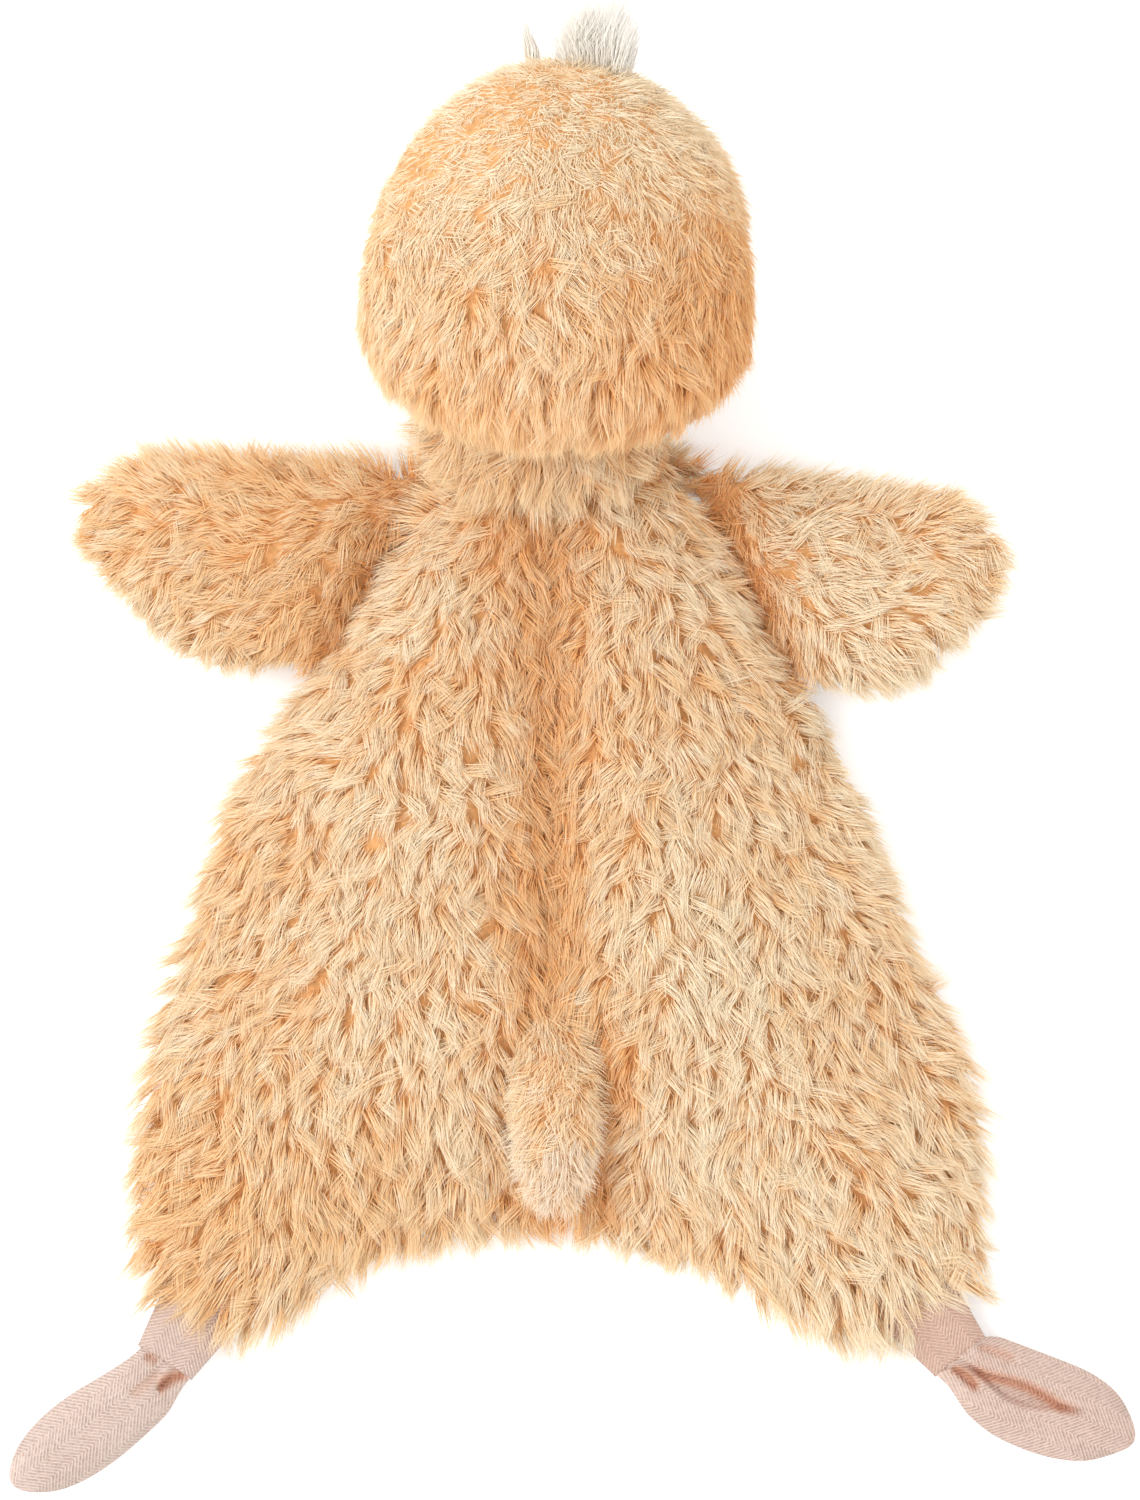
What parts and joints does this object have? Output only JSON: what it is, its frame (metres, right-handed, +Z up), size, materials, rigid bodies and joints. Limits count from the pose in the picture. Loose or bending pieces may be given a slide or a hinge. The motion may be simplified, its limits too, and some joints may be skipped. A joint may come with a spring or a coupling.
{
  "type": "comfort blanket lovey",
  "caption": "Flat plush bird comfort blanket for a baby, with a stuffed head, floppy wings, a tail nub and twill legs and feet.",
  "frame": {"origin": "on the flat of the belly, where the toy lies on a surface", "axes": "+X to the toy's right seen from above its back, +Y towards the head, +Z up through the back"},
  "size_m": [0.251, 0.3296, 0.0763],
  "materials": {
    "plush": "long apricot pile, matte",
    "cream_plush": "long cream pile, matte",
    "twill": "blush herringbone twill, matte",
    "wadding": "loose white fibre",
    "eye_thread": "dark satin-stitched thread",
    "seam_thread": "rolled seam allowance and thread"
  },
  "bodies": {
    "torso": {"back_panel_left": "plush", "back_panel_right": "plush", "belly_panel": "plush", "body_wadding": "wadding", "neck_gather": "plush"},
    "head": {"head_back_left": "plush", "head_back_right": "plush", "face_panel": "plush", "head_stuffing": "wadding", "beak_upper": "twill", "beak_lower": "twill", "left_eye": "eye_thread", "right_eye": "eye_thread", "crown_tuft": "cream_plush"},
    "left_wing": {"left_wing_seam": "seam_thread", "left_wing_top": "plush", "left_wing_under": "plush", "left_wing_padding": "wadding"},
    "right_wing": {"right_wing_seam": "seam_thread", "right_wing_top": "plush", "right_wing_under": "plush", "right_wing_padding": "wadding"},
    "tail": {"tail_seam": "seam_thread", "tail_top": "plush", "tail_under": "plush", "tail_stuffing": "wadding"},
    "left_leg": {"left_leg_seam": "seam_thread", "left_leg": "twill"},
    "right_leg": {"right_leg_seam": "seam_thread", "right_leg": "twill"},
    "left_foot": {"left_ankle_seam": "seam_thread", "left_foot_top": "twill", "left_foot_under": "twill", "left_foot_padding": "wadding"},
    "right_foot": {"right_ankle_seam": "seam_thread", "right_foot_top": "twill", "right_foot_under": "twill", "right_foot_padding": "wadding"}
  },
  "joints": [
    {"name": "head_nod", "type": "hinge", "parent": "torso", "child": "head", "pos_m": [0, 0.072, 0.022], "axis": [1, 0, 0], "range_deg": [-60, 60]},
    {"name": "left_wing_flap", "type": "hinge", "parent": "torso", "child": "left_wing", "pos_m": [-0.04218, 0.03994, 0.00857], "axis": [0.4873, 0.8732, 0], "range_deg": [-80, 80]},
    {"name": "right_wing_flap", "type": "hinge", "parent": "torso", "child": "right_wing", "pos_m": [0.04086, 0.03994, 0.00857], "axis": [0.4473, -0.8944, 0], "range_deg": [-80, 80]},
    {"name": "tail_lift", "type": "hinge", "parent": "torso", "child": "tail", "pos_m": [-0.00092, -0.0584, 0.02432], "axis": [-1, 0, 0], "range_deg": [0, 80]},
    {"name": "left_leg_swing", "type": "hinge", "parent": "torso", "child": "left_leg", "pos_m": [-0.08035, -0.12392, 0.006], "axis": [-0.866, 0.5, 0], "range_deg": [-75, 75]},
    {"name": "right_leg_swing", "type": "hinge", "parent": "torso", "child": "right_leg", "pos_m": [0.08035, -0.12344, 0.006], "axis": [-0.866, -0.5, 0], "range_deg": [-75, 75]},
    {"name": "left_ankle_flex", "type": "hinge", "parent": "left_leg", "child": "left_foot", "pos_m": [-0.0881, -0.13734, 0.006], "axis": [-0.866, 0.5, 0], "range_deg": [-75, 75]},
    {"name": "right_ankle_flex", "type": "hinge", "parent": "right_leg", "child": "right_foot", "pos_m": [0.0881, -0.13686, 0.006], "axis": [-0.866, -0.5, 0], "range_deg": [-75, 75]}
  ]
}
